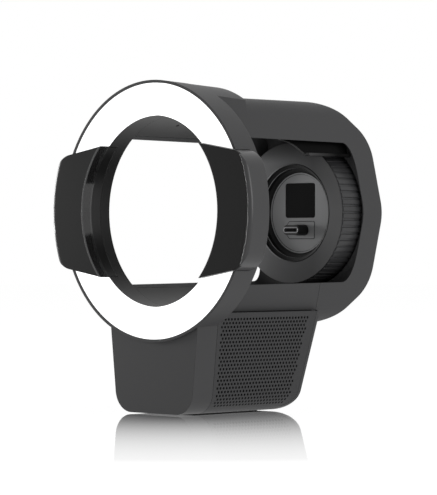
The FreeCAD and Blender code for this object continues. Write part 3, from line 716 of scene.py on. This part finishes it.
def makeRail(name, node, side, finish, choice):
    corners, faces, finishIndex = [], [], []

    def addPoint(x, depth, height):
        corners.append((side * x * mm, rimY + depth * mm, axisZ + height * mm))

    outline = choice["outline"]
    count = len(outline)
    for inset in (choice["plateInset"], choice["plateInset"] + choice["plateWall"]):
        for depth, height in outline:
            addPoint(choice["apex"] - choice["slope"] * height - inset, depth, height)
    faces.append(tuple(range(count)))
    faces.append(tuple(range(count, 2 * count))[::-1])
    finishIndex += [0, 0]
    for i in range(count):
        j = (i + 1) % count
        faces.append((i, i + count, j + count, j))
        finishIndex.append(1 if choice["frontFaces"][0] <= i < choice["frontFaces"][1] else 0)
    section, roundFrom = railSection(choice)
    first = len(corners)
    sides = len(section)
    for depth, slant in ((choice["lipFront"], choice["lipSlant"]), (choice["lipEnd"], 0.0)):
        for x, height in section:
            addPoint(x, depth + (slant if x > roundFrom else 0.0), height)
    for j in range(sides):
        k = (j + 1) % sides
        faces.append((first + j, first + k, first + k + sides, first + j + sides))
        finishIndex.append(1)
    faces.append(tuple(range(first, first + sides))[::-1])
    faces.append(tuple(range(first + sides, first + 2 * sides)))
    finishIndex += [1, 1]
    mesh = bpy.data.meshes.new(name)
    mesh.from_pydata(corners, [], faces)
    mesh.materials.append(finishes[finish])
    mesh.materials.append(finishes["railLipPlastic"])
    for polygon, index in zip(mesh.polygons, finishIndex):
        polygon.material_index = index
    faceOutward(mesh)
    smoothBelow(mesh, choice["sharpAngle"])
    rail = addObject(name, mesh)
    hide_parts(node)
    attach(rail, "housing")


# the near rail is painted black, painted shade, and the far one painted lighter, painted light
for name, node, side, finish in (("rightRail", "right_guide_rail", 1, "railPlastic"),
                                 ("leftRail", "left_guide_rail", -1, "farRailPlastic")):
    makeRail(name, node, side, finish, railChoice)
print("guide rails made")


# fine rounded edges round the docking recess and its disc, sizes in mm
recessEdges = [
    # recessEdge and stepEdge take the finish whose lighter left side is a painted highlight
    {"name": "recessEdge", "radius": 20.55, "depth": 82.85, "bead": 0.22, "finish": "edgeMetal"},
    {"name": "stepEdge", "radius": 18.85, "depth": 84.35, "bead": 0.14, "finish": "edgeMetal"},
    {"name": "discEdge", "radius": 17.2, "depth": 87.12, "bead": 0.22, "finish": "cupBlack"},
    {"name": "rimEdge", "radius": 16.33, "depth": 87.35, "bead": 0.09, "finish": "cupBlack"},
]


def makeEdgeRing(choice):
    steps, sides = 128, 8
    corners, faces = [], []
    for i in range(steps):
        angle = 2 * math.pi * i / steps
        for j in range(sides):
            turn = 2 * math.pi * j / sides
            radius = choice["radius"] + choice["bead"] * math.cos(turn)
            depth = choice["depth"] + choice["bead"] * math.sin(turn)
            corners.append((radius * mm * math.cos(angle), rimY + depth * mm,
                            axisZ + radius * mm * math.sin(angle)))
    for i in range(steps):
        for j in range(sides):
            here, beside = i * sides + j, i * sides + (j + 1) % sides
            ahead = (i + 1) % steps * sides - i * sides
            faces.append((here, beside, beside + ahead, here + ahead))
    mesh = bpy.data.meshes.new(choice["name"])
    mesh.from_pydata(corners, [], [face[::-1] for face in faces])
    mesh.shade_smooth()
    mesh.materials.append(finishes[choice["finish"]])
    edge = addObject(choice["name"], mesh)
    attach(edge, "housing")


for choice in recessEdges:
    makeEdgeRing(choice)
print("recess edges made")


# shadow gap round the plug's plate: a thin black band along its outline, a painted shadow in the gap, sizes
# in mm
gapChoice = {
    "outline": [(8.15, -3.1), (8.15, 3.1), (7.97, 3.53), (7.55, 3.66), (-6.15, 3.66), (-8.1, 1.71),
                (-8.1, -1.71), (-6.15, -3.66), (7.55, -3.66), (7.97, -3.53)],
    "height": -7.2, "halfWidth": 0.11, "front": 87.27, "back": 87.42,
}


def growOutline(points, grow):
    # every side of the outline moved outward, and met again at the corners
    mitreLimit = 0.5
    count = len(points)
    grown = []
    for i in range(count):
        before, here, after = (Vector(points[(i + k) % count]) for k in (-1, 0, 1))
        first, second = (here - before).normalized(), (after - here).normalized()
        outward = Vector((first.y + second.y, -first.x - second.x)).normalized()
        grown.append(here + outward * grow / max(mitreLimit, outward.dot(Vector((first.y, -first.x)))))
    return grown


def makeGapLine(name, choice):
    wide, front, back = choice["halfWidth"], choice["front"], choice["back"]
    loops = [(growOutline(choice["outline"], grow), depth)
             for grow, depth in ((wide, front), (-wide, front), (-wide, back), (wide, back))]
    count = len(choice["outline"])
    corners = [(x * mm, rimY + depth * mm, axisZ + (choice["height"] + height) * mm)
               for points, depth in loops for x, height in points]
    faces = []
    for k in range(len(loops)):
        first, second = k * count, (k + 1) % len(loops) * count
        for i in range(count):
            j = (i + 1) % count
            faces.append((first + i, second + i, second + j, first + j))
    mesh = bpy.data.meshes.new(name)
    mesh.from_pydata(corners, [], faces)
    faceOutward(mesh)
    mesh.materials.append(finishes["cupBlack"])
    line = addObject(name, mesh)
    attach(line, "housing")


makeGapLine("plugPlateGap", gapChoice)
print("plug plate's gap made")


# dark lip where a pod's front turns into the bore; the left one is thicker, and its bevel is painted
# lighter, a painted highlight line
# sections: radius from the axis and depth behind the rim, in mm
lipChoice = {
    "section": [(38.4, 2.0), (38.4, -1.87), (38.52, -2.02), (39.3, -2.02), (39.3, -1.6)],
    "plainSection": [(38.9, 2.0), (38.9, -1.97), (38.93, -2.02), (39.3, -2.02), (39.3, -1.6)],
    "bevelFace": 1, "edgeHeight": 31.21, "edgeSlope": 0.165, "steps": 48, "sharpAngle": 20,
}


def lipAngle(radius, choice):
    # half the angle that the pod's sloped edges leave at a radius
    slope = choice["edgeSlope"]
    return math.asin(choice["edgeHeight"] / radius / math.hypot(1, slope)) - math.atan(slope)


def makePodLip(name, side, choice):
    section = choice["section" if side < 0 else "plainSection"]
    steps, sides = choice["steps"], len(section)
    corners, faces = [], []
    for i in range(steps + 1):
        for radius, depth in section:
            angle = lipAngle(radius, choice) * (2 * i / steps - 1)
            corners.append((side * radius * mm * math.cos(angle), rimY + depth * mm,
                            axisZ + radius * mm * math.sin(angle)))
    for i in range(steps):
        for j in range(sides):
            here = i * sides + j
            beside = i * sides + (j + 1) % sides
            faces.append((here, beside, beside + sides, here + sides))
    faces.append(tuple(range(sides))[::-1])
    faces.append(tuple(range(steps * sides, (steps + 1) * sides)))
    mesh = bpy.data.meshes.new(name)
    mesh.from_pydata(corners, [], [face[::-1] for face in faces] if side > 0 else faces)
    mesh.materials.append(finishes["windowPlastic"])
    # the left lip's bevel takes a lighter colour: a painted highlight
    mesh.materials.append(finishes["lipEdge" if side < 0 else "windowPlastic"])
    for i in range(steps):
        mesh.polygons[i * sides + choice["bevelFace"]].material_index = 1
    smoothBelow(mesh, choice["sharpAngle"])
    lip = addObject(name, mesh)
    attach(lip, "housing")


for name, side in (("rightPodLip", 1), ("leftPodLip", -1)):
    makePodLip(name, side, lipChoice)
print("pod lips made")


# studio: pale floor, white background, soft panels
studio = {
    "world": 0.36,
    "panels": [
        {"name": "topPanel", "place": (0.3, 0.1, 1.2), "aim": (0, 0, 0.08), "size": 1.0, "watts": 2.4},
        {"name": "rightPanel", "place": (1.3, 0.1, 0.4), "aim": (0, 0, 0.08), "size": 0.8, "watts": 8.0},
        {"name": "leftPanel", "place": (-0.45, -0.1, 0.1), "aim": (0, 0.05, 0.08), "size": 0.1,
         "watts": 0.8},
    ],
}
# the floor's mirror fades away from a rectangle under the base: besideX each side of the middle, and
# from baseFront to baseBack behind the rim, all in metres
floorChoice = {
    "halfSize": 3.0, "color": (0.22, 0.22, 0.22, 1), "glow": 0.915,
    "mirrorLength": 0.132, "mirrorPower": 1.3, "mirrorFade": 0.226, "mirrorEnd": 0.250,
    "mirrorRoughness": 0.03, "besideX": 0.015, "baseFront": 0.004, "baseBack": 0.0549,
}


def lightWorld(strength):
    world = bpy.data.worlds.new("studioWorld")
    bpy.context.scene.world = world
    tree = emptyTree(world)
    rays = addNode(tree, "ShaderNodeLightPath").outputs
    seen = calculate(tree, "MAXIMUM", rays["Is Camera Ray"], rays["Is Transmission Ray"])
    shown = calculate(tree, "MAXIMUM", seen, rays["Is Glossy Ray"])
    level = mapBetween(tree, shown, low=0.0, high=1.0, outLow=strength, outHigh=1.0)
    background = addNode(tree, "ShaderNodeBackground", {"Color": (1, 1, 1, 1), "Strength": level})
    target = addNode(tree, "ShaderNodeOutputWorld")
    tree.links.new(background.outputs[0], target.inputs["Surface"])


def hangPanel(panel):
    data = bpy.data.lights.new(panel["name"], "AREA")
    data.shape = "SQUARE"
    data.size = panel["size"]
    data.energy = panel["watts"]
    lamp = addObject(panel["name"], data)
    lamp.location = panel["place"]
    aimAt(lamp, panel["aim"])


def beyond(tree, value, reach):
    # how far a value lies past a reach, whichever side it is on
    size = calculate(tree, "ABSOLUTE", value)
    return calculate(tree, "MAXIMUM", calculate(tree, "SUBTRACT", size, reach), 0.0)


def polishFade(tree, place, choice):
    # how much the polished floor mirrors, by the distance from the rectangle under the base
    low, high = rimY + choice["baseFront"], rimY + choice["baseBack"]
    parts = addNode(tree, "ShaderNodeSeparateXYZ", {"Vector": place}).outputs
    besideX = beyond(tree, parts["X"], choice["besideX"])
    centred = calculate(tree, "SUBTRACT", parts["Y"], (low + high) / 2)
    besideY = beyond(tree, centred, (high - low) / 2)
    away = flatLength(tree, besideX, besideY)
    share = calculate(tree, "POWER", calculate(tree, "DIVIDE", away, choice["mirrorLength"]),
                      choice["mirrorPower"])
    fall = calculate(tree, "EXPONENT", calculate(tree, "MULTIPLY", share, -1.0))
    end = mapBetween(tree, away, choice["mirrorFade"], choice["mirrorEnd"], outLow=1.0, outHigh=0.0)
    return calculate(tree, "MULTIPLY", fall, end)


def polishedFloor(choice):
    material = bpy.data.materials.new("polishedFloor")
    tree = emptyTree(material)
    place = addNode(tree, "ShaderNodeTexCoord").outputs["Object"]
    rays = addNode(tree, "ShaderNodeLightPath").outputs
    plain = addNode(tree, "ShaderNodeBsdfDiffuse", {"Color": choice["color"]})
    white = addNode(tree, "ShaderNodeEmission", {"Color": (1, 1, 1, 1), "Strength": choice["glow"]})
    lit = addNode(tree, "ShaderNodeAddShader")
    tree.links.new(plain.outputs[0], lit.inputs[0])
    tree.links.new(white.outputs[0], lit.inputs[1])
    mirror = addNode(tree, "ShaderNodeBsdfGlossy", {"Color": (1, 1, 1, 1),
                                                    "Roughness": choice["mirrorRoughness"]})
    shown = calculate(tree, "MULTIPLY", polishFade(tree, place, choice), rays["Is Camera Ray"])
    mixed = addNode(tree, "ShaderNodeMixShader", {0: shown})
    tree.links.new(lit.outputs[0], mixed.inputs[1])
    tree.links.new(mirror.outputs[0], mixed.inputs[2])
    target = addNode(tree, "ShaderNodeOutputMaterial")
    tree.links.new(mixed.outputs[0], target.inputs["Surface"])
    return material


def layFloor(choice):
    half = choice["halfSize"]
    mesh = bpy.data.meshes.new("studioFloor")
    mesh.from_pydata([(-half, -half, 0), (half, -half, 0), (half, half, 0), (-half, half, 0)], [],
                     [(0, 1, 2, 3)])
    mesh.materials.append(polishedFloor(choice))
    floor = addObject("studioFloor", mesh)


lightWorld(studio["world"])
for panel in studio["panels"]:
    hangPanel(panel)
layFloor(floorChoice)
bpy.context.scene.view_settings.view_transform = "Standard"
print("studio set")
